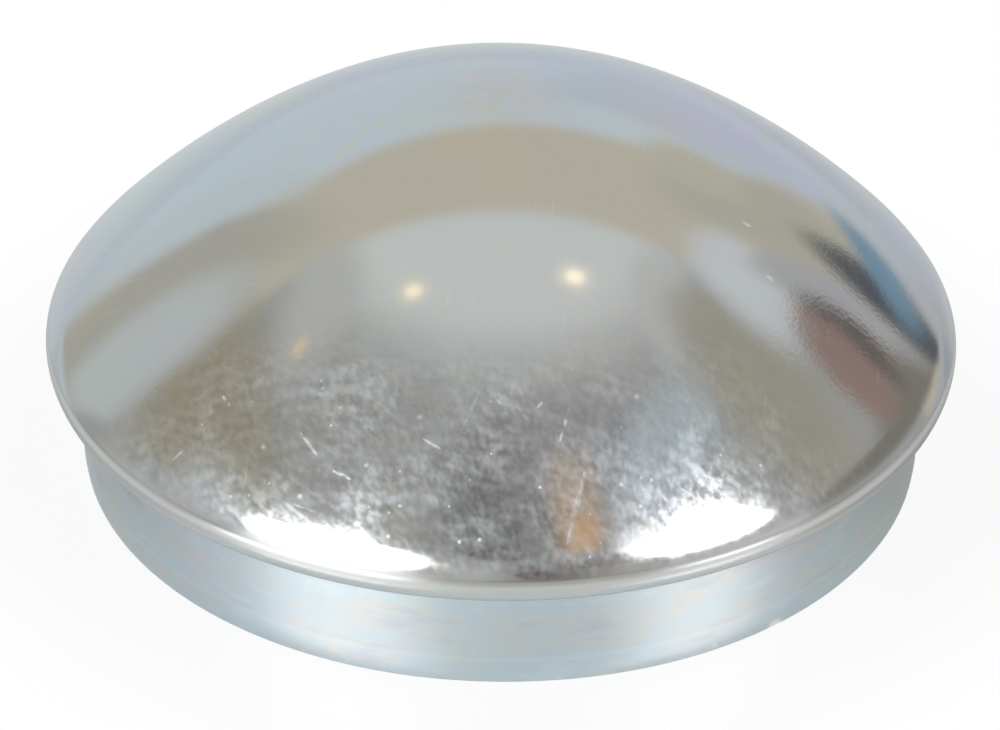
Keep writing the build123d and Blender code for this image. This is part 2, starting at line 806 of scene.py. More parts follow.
BLOOMS = (
    Bloom((12.9, 5.5, 22.2), 8.0, (1.06, 0.955, 1.07)),
    Bloom((17.5, 3.8, 20.0), 7.0, (1.02, 0.955, 1.06)),
    Bloom((-0.3, 2.3, 25.2), 7.5, (1.04, 0.925, 0.82)),
    Bloom((-10.5, 9.5, 22.1), 6.0, (1.01, 0.955, 1.06)),
    Bloom((3.7, 8.9, 23.9), 6.0, (0.96, 0.97, 1.05)),
    Bloom((-20.0, 6.0, 17.5), 12.0, (0.94, 1.0, 0.985)),
)

DASHES = (Dashes(0.5, 0.14, 0.10), Dashes(1.7, 0.15, 0.13))
SMEARS = (Streaks(0.2, (0.5, 1.6, 0.9), (0.30, 0.74)), Streaks(1.2, (1.4, 2.5, 1.8), (0.30, 0.74)))
HAIRS = Streaks(0.7, (0.3, 2.6, 0.5), (0.54, 0.80))

TINTS = (
    (0.30, (1.04, 0.99, 0.90)),
    (0.40, (1.00, 1.00, 0.98)),
    (0.47, (0.93, 1.00, 1.05)),
    (0.53, (0.97, 0.96, 1.06)),
    (0.59, (1.05, 0.96, 0.98)),
    (0.66, (0.95, 1.03, 0.99)),
    (0.74, (1.01, 1.00, 0.97)),
)

BANDS = (
    (0.32, (0.89, 0.90, 0.92)),
    (0.43, (1.05, 0.985, 0.925)),
    (0.51, (0.98, 0.99, 0.99)),
    (0.59, (0.94, 1.00, 1.02)),
    (0.70, (1.08, 1.07, 1.05)),
)


class ZincPlate:
    """Builds the zinc plate's material from shared effects."""

    def __init__(self, finish: ZincFinish, section: CapSection) -> None:
        """Builds the effects.

        Args:
            finish: the values.
            section: the section that the marks lie on.
        """
        self.finish = finish
        self.section = section
        self.tint = self._tint_group()
        self.specks = self._speck_group()
        self.dashes = self._dash_group()
        self.mark = self._mark_group()
        self.streaks = self._streak_group()
        self.haze = self._haze_group()
        self.relief = self._relief_group()
        self.bands = self._band_and_glint_group()

    def _tint_group(self) -> Tree:
        """The passivate's pale colours over the plate.

        Returns:
            A group from point and base colour to colour.
        """
        g = Group(
            "passivate_tint",
            {"Point": Kind.VECTOR, "Base": Kind.COLOUR, "Strength": Kind.VALUE},
            {"Color": Kind.COLOUR},
        )
        broad = g.noise(g.inputs["Point"], self.finish.tint_broad)
        fine = g.noise(g.inputs["Point"], self.finish.tint_fine)
        mixed = g.product(g.math("ADD", broad, fine), 0.5)
        toned = g.mix(g.inputs["Strength"], WHITE, g.ramp(mixed, TINTS))
        return g.done(g.mix(1.0, g.inputs["Base"], toned, "MULTIPLY"))

    def _speck_group(self) -> Tree:
        """Small dull specks scattered by tumbling.

        Returns:
            A group from point to mask.
        """
        g = Group(
            "specks",
            {"Point": Kind.VECTOR, "Scale": Kind.VALUE, "Size": Kind.VALUE, "Chance": Kind.VALUE},
            {"Mask": Kind.VALUE},
        )
        cells = g.add("ShaderNodeTexVoronoi", {"Vector": g.inputs["Point"], "Scale": g.inputs["Scale"]})
        pick = g.add("ShaderNodeSeparateColor", {0: cells.outputs["Color"]})
        chosen = g.math("LESS_THAN", pick.outputs[0], g.inputs["Chance"])
        size = g.product(g.inputs["Size"], g.math("ADD", 0.5, pick.outputs[1]))
        return g.done(g.product(g.smooth(cells.outputs["Distance"], size, 0.0), chosen))

    def _dash_group(self) -> Tree:
        """Short straight scratches that run one way.

        Returns:
            A group from point and direction to mask.
        """
        f = self.finish
        g = Group(
            "dashes",
            {"Point": Kind.VECTOR, "Angle": Kind.VALUE, "Chance": Kind.VALUE, "Length": Kind.VALUE},
            {"Mask": Kind.VALUE},
        )
        stretch = g.add("ShaderNodeCombineXYZ", {0: g.inputs["Length"], 1: f.dash_rows, 2: 0.0})
        space = g.vector("MULTIPLY", g.turned(g.inputs["Point"], g.inputs["Angle"]), stretch.outputs[0])
        cells = g.add("ShaderNodeTexVoronoi", {"Vector": space, "Scale": 1.0}, voronoi_dimensions="2D")
        pick = g.add("ShaderNodeSeparateColor", {0: cells.outputs["Color"]})
        chosen = g.math("LESS_THAN", pick.outputs[0], g.inputs["Chance"])
        width = g.math("MULTIPLY_ADD", pick.outputs[1], f.dash_spread, f.dash_width)
        shape = g.smooth(cells.outputs["Distance"], width, g.product(width, f.dash_core))
        return g.done(g.product(shape, chosen))

    def _mark_group(self) -> Tree:
        """One straight mark between two places, widest in its middle.

        Returns:
            A group from point and ends to mask.
        """
        vectors = dict.fromkeys(("Point", "Start", "End"), Kind.VECTOR)
        values = dict.fromkeys(("Inner", "Outer", "Strength", "Under"), Kind.VALUE)
        g = Group("mark", {**vectors, **values}, {"Mask": Kind.VALUE})
        ends = [g.vector("DISTANCE", g.inputs["Point"], g.inputs[name]) for name in ("Start", "End")]
        shape = g.smooth(g.math("ADD", *ends), g.inputs["Outer"], g.inputs["Inner"])
        g.put(shape.node.inputs["To Max"], g.inputs["Strength"])
        return g.done(g.math("MAXIMUM", shape, g.inputs["Under"]))

    def _streak_group(self) -> Tree:
        """Rubbed streaks that run one way, as stretched noise.

        Returns:
            A group from point, direction and stretch to mask.
        """
        vectors = dict.fromkeys(("Point", "Stretch"), Kind.VECTOR)
        values = dict.fromkeys(("Angle", "Low", "High"), Kind.VALUE)
        g = Group("streaks", {**vectors, **values}, {"Mask": Kind.VALUE})
        space = g.vector("MULTIPLY", g.turned(g.inputs["Point"], g.inputs["Angle"]), g.inputs["Stretch"])
        return g.done(g.smooth(g.noise(space, self.finish.streaks), g.inputs["Low"], g.inputs["High"]))

    def _streaks(self, g: Graph, point: Value, layer: Streaks) -> Socket:
        """Adds one layer of streaks.

        Args:
            g: the graph.
            point: where it is read.
            layer: its values.

        Returns:
            Its mask.
        """
        low, high = layer.limits
        values = {"Point": point, "Angle": layer.turn, "Stretch": layer.stretch, "Low": low, "High": high}
        return g.group(self.streaks, values)

    def _haze_group(self) -> Tree:
        """Fine mottled dulling, mostly on the flank and the shoulder at the front.

        Returns:
            A group from point to mask, to the share of wear there, and to how far forward the point lies.
        """
        f = self.finish
        g = Group("haze", {"Point": Kind.VECTOR}, dict.fromkeys(("Mask", "Share", "Lean"), Kind.VALUE))
        point = g.inputs["Point"]
        x, y, z = g.parts(point)
        lean = g.math("MULTIPLY_ADD", x, f.lean_right, y)
        lean = g.math("MULTIPLY_ADD", g.math("ABSOLUTE", x), f.lean_sides, lean)
        front = g.lift(g.smooth(lean, *f.haze_front_fade), f.haze_front_share)
        band = g.product(g.smooth(z, *f.haze_top_fade), front, g.smooth(z, *f.haze_rim_fade))
        cloud = g.smooth(g.noise(point, f.cloud), *f.cloud_limits)
        smears = g.math("ADD", *(self._streaks(g, point, layer) for layer in SMEARS))
        cloudy = g.math("MULTIPLY_ADD", cloud, f.cloud_share, f.cloud_least)
        worn = g.product(smears, 1.0 / len(SMEARS), cloudy)
        worn = g.math("MULTIPLY_ADD", self._streaks(g, point, HAIRS), f.hair_share, worn)
        return g.done(g.product(worn, g.lift(band, f.haze_share)), band, lean)

    def _relief_group(self) -> Tree:
        """Unevenness of the pressed sheet: long waves, wrinkles by the fold and fine grain.

        Returns:
            A group from point to height in millimetres.
        """
        f = self.finish
        g = Group("pressed_relief", {"Point": Kind.VECTOR}, {"Height": Kind.VALUE})
        point = g.inputs["Point"]
        x, y, z = g.parts(point)
        waves = g.product(g.noise(point, f.waves), f.wave_height)
        front = g.lift(g.smooth(y, *f.grain_front_fade), f.grain_front_share)
        worn = g.product(g.smooth(z, *f.grain_top_fade), g.smooth(z, *f.grain_rim_fade), front)
        right = g.math("MULTIPLY_ADD", g.smooth(x, *f.grain_right_fade), f.grain_right, 1.0)
        kept = g.lift(worn, f.grain_share)
        grain = g.product(g.noise(point, f.grain), kept, right, f.grain_height)
        flat = g.vector("NORMALIZE", g.vector("MULTIPLY", point, (1.0, 1.0, 0.0)))
        wrinkles = g.noise(flat, f.wrinkles)
        wrinkles = g.product(wrinkles, g.smooth(z, *f.wrinkle_fade), f.wrinkle_height)
        return g.done(g.math("ADD", g.math("ADD", waves, grain), wrinkles))

    def _band_and_glint_group(self) -> Tree:
        """Drawing bands round the skirt, and a bright line painted where the lead-in starts, a painted
        highlight.

        Returns:
            A group from point, base colour and share to colour.
        """
        f = self.finish
        g = Group(
            "skirt_bands_and_glint",
            {"Point": Kind.VECTOR, "Base": Kind.COLOUR, "Share": Kind.VALUE},
            {"Color": Kind.COLOUR},
        )
        flat = g.vector("MULTIPLY", g.inputs["Point"], f.band_stretch)
        tone = g.ramp(g.noise(flat, f.bands), BANDS)
        # A bright line painted round the skirt where the lead-in starts: a painted highlight.
        line = g.ring(g.parts(g.inputs["Point"])[2], f.glint_height, f.glint_fade)
        tone = g.mix(g.product(line, f.glint_share), tone, f.line)
        toned = g.mix(g.inputs["Share"], WHITE, tone)
        return g.done(g.mix(1.0, g.inputs["Base"], toned, "MULTIPLY"))

    def _marks(self, g: Graph, point: Value, marks: tuple[Mark, ...], under: Value = 0.0) -> Value:
        """Chains marks, each over the last.

        Args:
            g: the material's graph.
            point: where the marks are read.
            marks: the marks.
            under: mask below the first.

        Returns:
            The strongest mask at each point.
        """
        for mark in marks:
            seen = (mark.start, mark.end or mark.start)
            if mark.height is None:
                start, end = (self.section.on_dome(place) for place in seen)
            else:
                start, end = ((*place, mark.height) for place in seen)
            length = math.dist(start, end)
            values = {
                "Point": point,
                "Start": start,
                "End": end,
                "Inner": length,
                "Outer": math.hypot(length, 2.0 * mark.width),
                "Strength": mark.strength,
                "Under": under,
            }
            under = g.group(self.mark, values)
        return under

    def _wear(self, g: Graph, point: Value) -> Wear:
        """Adds the masks of the wear.

        Args:
            g: the material's graph.
            point: where they are read.

        Returns:
            The masks.
        """
        f = self.finish
        haze, share, lean = g.add("ShaderNodeGroup", {0: point}, node_tree=self.haze).outputs
        size = {"Scale": f.speck_scale, "Size": f.speck_size, "Chance": f.speck_chance}
        specks = g.product(g.group(self.specks, {"Point": point, **size}), share)
        dashes: Value = 0.0
        for layer in DASHES:
            values = {"Angle": layer.turn, "Chance": layer.chance, "Length": layer.length}
            dashes = g.math("MAXIMUM", g.group(self.dashes, {"Point": point, **values}), dashes)
        dashes = g.product(dashes, g.smooth(g.parts(point)[2], *f.dome_fade), f.dash_share)
        broken = g.smooth(g.noise(point, f.broken), *f.broken_limits)
        scratches = g.product(self._marks(g, point, SCRATCHES, dashes), broken)
        return Wear(
            haze=haze,
            share=share,
            front=g.lift(g.smooth(lean, *f.front_fade), f.front_share),
            specks=specks,
            scratches=self._marks(g, point, SPOTS, scratches),
            nicks=self._marks(g, point, NICKS),
        )

    def _colour(self, g: Graph, point: Value, wear: Wear) -> Value:
        """Lays the colours over each other.

        Args:
            g: the material's graph.
            point: where they are read.
            wear: the masks of the wear.

        Returns:
            The colour.
        """
        f = self.finish
        _, y, z = g.parts(point)
        # The skirt wall takes the bluer skirt colour: a painted reflection of the bluish floor.
        wall = g.smooth(z, *f.wall_fade)
        base = g.mix(wall, f.base, f.skirt)
        strength = g.product(g.lift(g.smooth(y, *f.back_fade), f.back_share), f.tint)
        colour = g.group(self.tint, {"Point": point, "Base": base, "Strength": strength})
        share = g.product(wall, f.band_share)
        colour = g.group(self.bands, {"Point": point, "Base": colour, "Share": share})
        patchy = g.smooth(g.noise(point, f.patchy), *f.patchy_limits)
        blotch = g.lift(patchy, f.blotch_share)
        for bloom in BLOOMS:
            near = g.smooth(g.vector("DISTANCE", point, bloom.centre), bloom.radius, 0.0)
            colour = g.mix(g.product(near, blotch), colour, bloom.tone, "MULTIPLY")
        mottle = g.mix(wear.haze, f.dark_mottle, f.pale_mottle)
        colour = g.mix(g.product(wear.front, wear.share), colour, mottle, "MULTIPLY")
        # A thin dark line painted along the crease where the dome meets the fold, and darkening painted under
        # the fold above the seat: painted shade.
        crease = g.ring(z, f.crease_height, f.crease_fade)
        under = g.product(g.smooth(z, *f.under_fade), g.smooth(z, *f.seat_fade))
        layers = (
            (g.product(self._marks(g, point, VEINS), patchy, f.vein_share), f.vein),
            # Dark blotches above the fold at the front: a painted dark reflection.
            (g.product(self._marks(g, point, DARK_REFLECTIONS), patchy), f.dark_reflection),
            (g.product(wear.scratches, f.scratch_scatter), WHITE),
            (g.product(crease, f.crease_shade), f.painted_shade),
            (g.product(under, f.under_bead_shade), f.painted_shade),
            (wear.nicks, f.nick),
        )
        for mask, tone in layers:
            colour = g.mix(mask, colour, tone)
        return colour

    def _roughness(self, g: Graph, point: Value, wear: Wear) -> Value:
        """Adds up the roughness.

        Args:
            g: the material's graph.
            point: where it is read.
            wear: the masks of the wear.

        Returns:
            The roughness.
        """
        f = self.finish
        z = g.parts(point)[2]
        layers = (
            (g.smooth(z, *f.bead_fade), f.bead_roughness - f.roughness),
            (g.smooth(z, *f.wall_fade), f.wall_roughness - f.bead_roughness),
            (wear.haze, f.haze_roughness),
            (wear.specks, f.speck_roughness),
            (wear.scratches, f.scratch_roughness),
            (wear.nicks, f.nick_roughness),
        )
        rough: Value = f.roughness
        for mask, more in layers:
            rough = g.math("MULTIPLY_ADD", mask, more, rough)
        return rough

    def material(self, name: str) -> bpy.types.Material:
        """Builds the material.

        Args:
            name: its name.

        Returns:
            The material.
        """
        f = self.finish
        made = bpy.data.materials.new(name)
        g = cleared(made)
        point = g.vector("SCALE", g.add("ShaderNodeTexCoord").outputs["Object"], 1.0 / MM)
        wear = self._wear(g, point)
        dulled = g.math("MULTIPLY_ADD", wear.specks, f.speck_scatter, f.haze_scatter)
        dulled = g.product(dulled, wear.haze, wear.front)
        dulled = g.math("MULTIPLY_ADD", wear.scratches, f.scratch_scatter, dulled)
        height = g.group(self.relief, {"Point": point})
        bump = g.add("ShaderNodeBump", {"Strength": 1.0, "Distance": MM, "Height": height})
        shader = g.add(
            "ShaderNodeBsdfPrincipled",
            {
                "Base Color": self._colour(g, point, wear),
                "Metallic": g.math("SUBTRACT", 1.0, g.math("ADD", dulled, wear.nicks)),
                "Roughness": self._roughness(g, point, wear),
                "Normal": bump.outputs[0],
            },
        )
        g.add("ShaderNodeOutputMaterial", {"Surface": shader.outputs[0]})
        LOG.info("%s: %d nodes", name, len(made.node_tree.nodes))
        return made


@dataclass(frozen=True)
class GreaseCap:
    """The cap: its mesh, its finish and its place in the frame."""

    sizes: CapSizes
    finish: ZincFinish
    around: int = 240

    def build(self) -> bpy.types.Object:
        """Makes the cap and puts it in the place of its CAD node.

        Returns:
            The cap.
        """
        section = CapSection(self.sizes)
        mesh = LatheMesh(section, self.around).build("grease_cap_sheet")
        # The material carries wear and also painted shade, a painted dark reflection and a painted highlight
        # line.
        mesh.materials.append(ZincPlate(self.finish, section).material("zinc_plate_worn_and_painted_light"))
        shown = bpy.data.objects.new("grease_cap_sheet", mesh)
        bpy.context.scene.collection.objects.link(shown)
        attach(shown, "root")
        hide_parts("grease_cap")
        return shown


# Studio


def direction(azimuth: float, elevation: float) -> Vector:
    """A unit vector; the azimuth counts from straight behind the cap, positive to the right."""
    a, e = math.radians(azimuth), math.radians(elevation)
    return Vector((math.sin(a) * math.cos(e), math.cos(a) * math.cos(e), math.sin(e)))


@dataclass(frozen=True)
class Panel:
    """A flat soft-edged panel of the surroundings, far away."""

    azimuth: float
    elevation: float
    half_width: float
    half_height: float
    soft: float
    colour: Triple
    roll: float = 0.0


@dataclass(frozen=True)
class Ellipse(Panel):
    """An oval soft-edged patch of the surroundings, far away; its softness is a share of its size."""


@dataclass(frozen=True)
class Spot:
    """A round soft-edged patch of the surroundings, far away."""

    azimuth: float
    elevation: float
    inner: float
    outer: float
    colour: Triple


@dataclass(frozen=True)
class Softbox:
    """An oval lamp that faces the cap."""

    name: str
    azimuth: float
    elevation: float
    width: float
    height: float
    radiance: float
    roll: float
    away: float = 700.0
    colour: Triple = (1.0, 0.99, 0.97)


@dataclass(frozen=True)
class FloorPaper:
    """Values of the floor: colours are linear, places and fades are millimetres."""

    half: float = 1500.0
    close: Triple = (0.86, 0.905, 0.945)
    outer: Triple = (0.98, 0.98, 0.97)
    back: Triple = (0.80, 0.88, 0.96)
    # The darker right and left tones beside the cap are painted shadow on the floor.
    right: Triple = (0.46, 0.445, 0.42)
    left: Triple = (0.62, 0.635, 0.67)
    lilac: Triple = (0.66, 0.71, 0.82)
    sheen: Triple = (1.0, 0.95, 0.87)
    roughness: float = 0.26
    refraction: float = 2.6
    shadow_share: float = 0.10
    outer_fade: Pair = (38.0, 52.0)
    back_fade: Pair = (-10.0, 25.0)
    # Where the painted shadow beside the cap lies.
    right_fade: Pair = (21.0, 37.0)
    left_fade: Pair = (-22.0, -36.0)
    side_fade: Pair = (48.0, 37.0)
    lilac_place: Triple = (75.0, 75.0, 0.0)
    lilac_fade: Pair = (70.0, 30.0)
    clear_fade: Pair = (110.0, 200.0)
    white_fade: Pair = (31.0, 43.0)


@dataclass(frozen=True)
class Room:
    """Values of the surroundings: colours are linear, fades are parts of a unit direction."""

    wall: Triple = (0.43, 0.415, 0.385)
    low: Triple = (0.49, 0.475, 0.43)
    ground: Triple = (0.60, 0.63, 0.66)
    side: Triple = (0.50, 0.50, 0.50)
    low_fade: Pair = (0.4226, 0.2588)
    front_fade: Pair = (-0.1, -0.5)
    below_fade: Pair = (0.02, -0.04)
    behind_fade: Pair = (-0.1, 0.2)
    side_fade: Pair = (0.30, 0.75)


@dataclass(frozen=True)
class Shot:
    """The camera at the photo's angle: its focal length and the picture's width are in pixels."""

    focal: float = 5892.5
    width: float = 1000.0
    sensor: float = 36.0
    rise: float = 33.338
    roll: float = 0.623
    away: float = 390.8
    target: Triple = (-0.051, 0.0, 5.778)
    nearest: float = 10.0
    farthest: float = 20000.0


Patch = Union[Panel, Spot, Ellipse]

SURROUNDINGS: tuple[Patch, ...] = (
    Spot(0.0, 72.0, 21.0, 41.0, (0.695, 0.695, 0.65)),
    Panel(-1.0, 10.0, 60.0, 56.2, 9.0, (0.615, 0.545, 0.43)),
    Spot(178.0, 55.0, 2.0, 17.5, (0.25, 0.245, 0.23)),
    Ellipse(-74.0, 53.0, 10.0, 6.0, 0.7, (0.56, 0.54, 0.50)),
    Ellipse(76.0, 57.0, 9.0, 5.0, 0.7, (0.60, 0.58, 0.53)),
    Ellipse(169.0, 32.0, 11.0, 10.0, 0.5, (0.28, 0.26, 0.245)),
    Ellipse(-170.0, 33.0, 9.0, 11.0, 0.6, (0.53, 0.51, 0.48)),
    Ellipse(147.0, 61.0, 11.0, 5.0, 0.7, (0.37, 0.365, 0.36)),
    Ellipse(119.0, 52.0, 13.0, 5.0, 0.6, (0.53, 0.565, 0.58)),
    Ellipse(-82.0, 34.8, 23.0, 8.0, 0.5, (0.385, 0.33, 0.24), 15.0),
    Ellipse(-102.0, 27.0, 11.0, 9.0, 0.6, (0.60, 0.60, 0.58), 15.0),
    Ellipse(-50.0, 14.0, 9.5, 26.0, 0.5, (0.49, 0.455, 0.385)),
    Ellipse(-60.0, 19.5, 7.2, 17.0, 0.4, (0.59, 0.60, 0.575), -12.0),
    Ellipse(-95.0, 5.0, 16.0, 10.0, 0.6, (0.56, 0.56, 0.55)),
    Ellipse(82.0, 40.0, 10.0, 14.0, 0.5, (0.41, 0.37, 0.295), -10.0),
    Ellipse(38.0, 22.0, 9.0, 18.0, 0.45, (0.53, 0.485, 0.39)),
    Ellipse(66.0, 13.0, 29.0, 4.8, 0.45, (0.25, 0.225, 0.185), -19.0),
    Spot(59.0, 38.5, 4.0, 12.5, (0.68, 0.68, 0.67)),
    Ellipse(51.0, 20.0, 3.4, 13.0, 0.5, (0.48, 0.47, 0.46), 14.0),
    Ellipse(57.5, 21.0, 3.8, 7.5, 0.4, (0.15, 0.125, 0.115), 16.0),
    Ellipse(63.5, 23.5, 5.0, 7.5, 0.4, (0.335, 0.23, 0.195), 12.0),
    Panel(-4.0, 2.0, 32.0, 34.3, 4.5, (0.64, 0.685, 0.70), 5.0),
    Ellipse(-36.5, 15.0, 4.6, 16.0, 0.45, (0.63, 0.665, 0.675)),
    Ellipse(29.5, 28.0, 6.0, 6.5, 0.6, (0.585, 0.53, 0.43)),
    Panel(17.0, -6.0, 12.0, 28.0, 5.0, (0.58, 0.605, 0.655)),
    Ellipse(42.8, 7.0, 4.2, 8.5, 0.5, (0.10, 0.105, 0.115)),
    Ellipse(37.0, 3.2, 7.0, 2.4, 0.6, (0.20, 0.33, 0.42), -22.0),
    Spot(-78.0, 72.0, 1.0, 5.0, (0.80, 0.74, 0.62)),
    Spot(63.0, 74.0, 1.0, 5.0, (0.85, 0.80, 0.70)),
    Spot(-78.0, 72.0, 0.3, 2.4, (1.45, 1.25, 0.85)),
    Spot(63.0, 74.0, 0.3, 2.6, (1.6, 1.4, 1.0)),
    Spot(-86.0, 50.3, 0.2, 1.8, (1.1, 0.78, 0.42)),
    Ellipse(154.0, 55.0, 4.2, 5.5, 0.5, (0.53, 0.41, 0.29)),
    Ellipse(154.5, 50.5, 3.6, 2.3, 0.4, (0.80, 0.48, 0.25)),
)

LIGHT_FEET: tuple[Patch, ...] = (
    Panel(-139.0, 11.0, 20.5, 20.0, 8.0, (1.4, 1.4, 1.38)),
    Panel(-135.5, 0.0, 21.0, 9.0, 6.0, (2.4, 2.4, 2.36)),
    Panel(122.0, 16.0, 19.0, 9.0, 6.0, (0.70, 0.69, 0.67)),
    Panel(126.0, -4.0, 11.5, 9.0, 4.0, (2.4, 2.35, 2.24)),
    Ellipse(139.5, 43.5, 4.5, 3.5, 0.5, (1.9, 1.87, 1.8)),
)

SOFTBOXES = (
    Softbox("softbox_left", -137.5, 35.8, 490.0, 212.0, 3.8, 12.0),
    Softbox("softbox_right", 125.5, 36.2, 370.0, 172.0, 4.8, -14.0),
)


@dataclass(frozen=True)
class Studio:
    """Floor, surroundings, lamps and camera.

    A panel is out of sight where a direction has less of its facing than LEAST_AHEAD.
    """

    LEAST_AHEAD = 0.05

    paper: FloorPaper
    room: Room
    shot: Shot

    def build(self) -> None:
        """Makes everything that isn't part of the cap."""
        bpy.context.scene.view_settings.view_transform = "Standard"
        self._floor()
        self._world()
        for box in SOFTBOXES:
            self._softbox(box)
        self._camera()

    def _floor(self) -> None:
        """A pale floor; the camera sees it lifted towards white, with the cap's shadow kept."""
        p = self.paper
        half = p.half * MM
        mesh = bpy.data.meshes.new("floor")
        corners = [(x * half, y * half, 0.0) for x, y in ((-1, -1), (1, -1), (1, 1), (-1, 1))]
        mesh.from_pydata(corners, [], [(0, 1, 2, 3)])
        made = bpy.data.materials.new("floor_paper")
        mesh.materials.append(made)
        g = cleared(made)
        point = g.vector("SCALE", g.add("ShaderNodeTexCoord").outputs["Object"], 1.0 / MM)
        away = g.vector("LENGTH", point)
        inputs = {"Base Color": self._paper_tone(g, point, away), "Specular Tint": p.sheen}
        inputs.update({"Roughness": p.roughness, "IOR": p.refraction})
        paper = g.add("ShaderNodeBsdfPrincipled", inputs)
        far = g.smooth(away, *p.clear_fade)
        clear = g.add("ShaderNodeBsdfTransparent")
        ground = g.add("ShaderNodeMixShader", {0: far, 1: paper.outputs[0], 2: clear.outputs[0]})
        white = g.add("ShaderNodeEmission", {"Color": WHITE, "Strength": 1.0})
        rays = g.add("ShaderNodeLightPath")
        lift = g.product(g.lift(g.smooth(away, *p.white_fade), p.shadow_share), rays.outputs["Is Camera Ray"])
        shader = g.add("ShaderNodeMixShader", {0: lift, 1: ground.outputs[0], 2: white.outputs[0]})
        g.add("ShaderNodeOutputMaterial", {"Surface": shader.outputs[0]})
        floor = bpy.data.objects.new("floor", mesh)
        bpy.context.scene.collection.objects.link(floor)

    def _paper_tone(self, g: Graph, point: Value, away: Value) -> Value:
        """The floor's colour, a little different on each side of the cap; the darker tones beside it on the
        right and left are painted shadow.

        Args:
            g: the floor's graph.
            point: where it is read.
            away: how far from the cap's axis that is.

        Returns:
            The colour.
        """
        p = self.paper
        x, y, _ = g.parts(point)
        back = g.smooth(y, *p.back_fade)
        beside = g.product(g.smooth(away, *p.side_fade), g.math("SUBTRACT", 1.0, back))
        layers = (
            (g.smooth(away, *p.outer_fade), p.outer),
            (back, p.back),
            # Darker tones beside the cap on the right and left: painted shadow.
            (g.product(g.smooth(x, *p.right_fade), beside), p.right),
            (g.product(g.smooth(x, *p.left_fade), beside), p.left),
            (g.smooth(g.vector("DISTANCE", point, p.lilac_place), *p.lilac_fade), p.lilac),
        )
        tone: Value = p.close
        for mask, over in layers:
            tone = g.mix(mask, tone, over)
        return tone

    def _patch_group(self, name: str, vectors: tuple[str, ...], values: tuple[str, ...]) -> Group:
        """Starts the group of one kind of patch.

        Args:
            name: the group's name.
            vectors: its own vectors.
            values: its own values.

        Returns:
            The group, which also has the direction and the colours behind and of the patch.
        """
        inputs = dict.fromkeys(("Direction", *vectors), Kind.VECTOR)
        inputs.update(dict.fromkeys(values, Kind.VALUE))
        inputs.update(dict.fromkeys(("Under", "Patch"), Kind.COLOUR))
        return Group(name, inputs, {"Color": Kind.COLOUR})

    def _panel_group(self) -> Tree:
        """One flat panel laid over what is behind it.

        Returns:
            A group from direction to colour.
        """
        edges = ("Across Inner", "Across Outer", "Up Inner", "Up Outer")
        g = self._patch_group("studio_panel", ("Facing", "Across", "Up"), edges)
        way = g.inputs["Direction"]
        ahead = g.vector("DOT_PRODUCT", way, g.inputs["Facing"])
        depth = g.math("MAXIMUM", ahead, self.LEAST_AHEAD)
        mask = g.math("GREATER_THAN", ahead, self.LEAST_AHEAD)
        for axis in ("Across", "Up"):
            off = g.math("DIVIDE", g.vector("DOT_PRODUCT", way, g.inputs[axis]), depth)
            edge = (g.inputs[f"{axis} Outer"], g.inputs[f"{axis} Inner"])
            mask = g.product(mask, g.smooth(g.math("ABSOLUTE", off), *edge))
        return g.done(g.mix(mask, g.inputs["Under"], g.inputs["Patch"]))

    def _ellipse_group(self) -> Tree:
        """One oval patch laid over what is behind it.

        Returns:
            A group from direction to colour.
        """
        g = self._patch_group("studio_ellipse", ("Across", "Up"), ("Inner", "Outer"))
        wide = g.vector("DOT_PRODUCT", g.inputs["Direction"], g.inputs["Across"])
        tall = g.vector("DOT_PRODUCT", g.inputs["Direction"], g.inputs["Up"])
        away = g.math("MULTIPLY_ADD", wide, wide, g.product(tall, tall))
        mask = g.smooth(away, g.inputs["Outer"], g.inputs["Inner"])
        return g.done(g.mix(mask, g.inputs["Under"], g.inputs["Patch"]))

    def _spot_group(self) -> Tree:
        """One round patch laid over what is behind it.

        Returns:
            A group from direction to colour.
        """
        g = self._patch_group("studio_spot", ("Facing",), ("Inner", "Outer"))
        ahead = g.vector("DOT_PRODUCT", g.inputs["Direction"], g.inputs["Facing"])
        mask = g.smooth(ahead, g.inputs["Outer"], g.inputs["Inner"])
        return g.done(g.mix(mask, g.inputs["Under"], g.inputs["Patch"]))

    def _patch(self, patch: Patch) -> dict:
        """Works out the inputs of one patch.

        Args:
            patch: the patch.

        Returns:
            Values by input name.
        """
        facing = direction(patch.azimuth, patch.elevation)
        if isinstance(patch, Spot):
            inner, outer = (math.cos(math.radians(angle)) for angle in (patch.inner, patch.outer))
            return {"Facing": facing, "Inner": inner, "Outer": outer, "Patch": patch.colour}
        across = direction(patch.azimuth + 90.0, 0.0)
        turn = Matrix.Rotation(math.radians(patch.roll), 3, facing)
        across, up = turn @ across, turn @ across.cross(facing)
        width, height = math.radians(patch.half_width), math.radians(patch.half_height)
        if isinstance(patch, Ellipse):
            return {
                "Across": across / math.sin(width),
                "Up": up / math.sin(height),
                "Inner": (1.0 - patch.soft) ** 2,
                "Outer": (1.0 + patch.soft) ** 2,
                "Patch": patch.colour,
            }
        soft = math.tan(math.radians(patch.soft))
        return {
            "Facing": facing,
            "Across": across,
            "Up": up,
            "Across Inner": math.tan(width) - soft,
            "Across Outer": math.tan(width) + soft,
            "Up Inner": math.tan(height) - soft,
            "Up Outer": math.tan(height) + soft,
            "Patch": patch.colour,
        }

    def _world(self) -> None:
        """The room: warm walls, a pale ceiling, paper behind the cap and a dim side behind the camera."""
        r = self.room
        world = bpy.data.worlds.new("studio_room")
        world.cycles.sampling_method = "NONE"
        bpy.context.scene.world = world
        g = cleared(world)
        groups = {Panel: self._panel_group(), Spot: self._spot_group(), Ellipse: self._ellipse_group()}
        way = g.add("ShaderNodeTexCoord").outputs["Generated"]

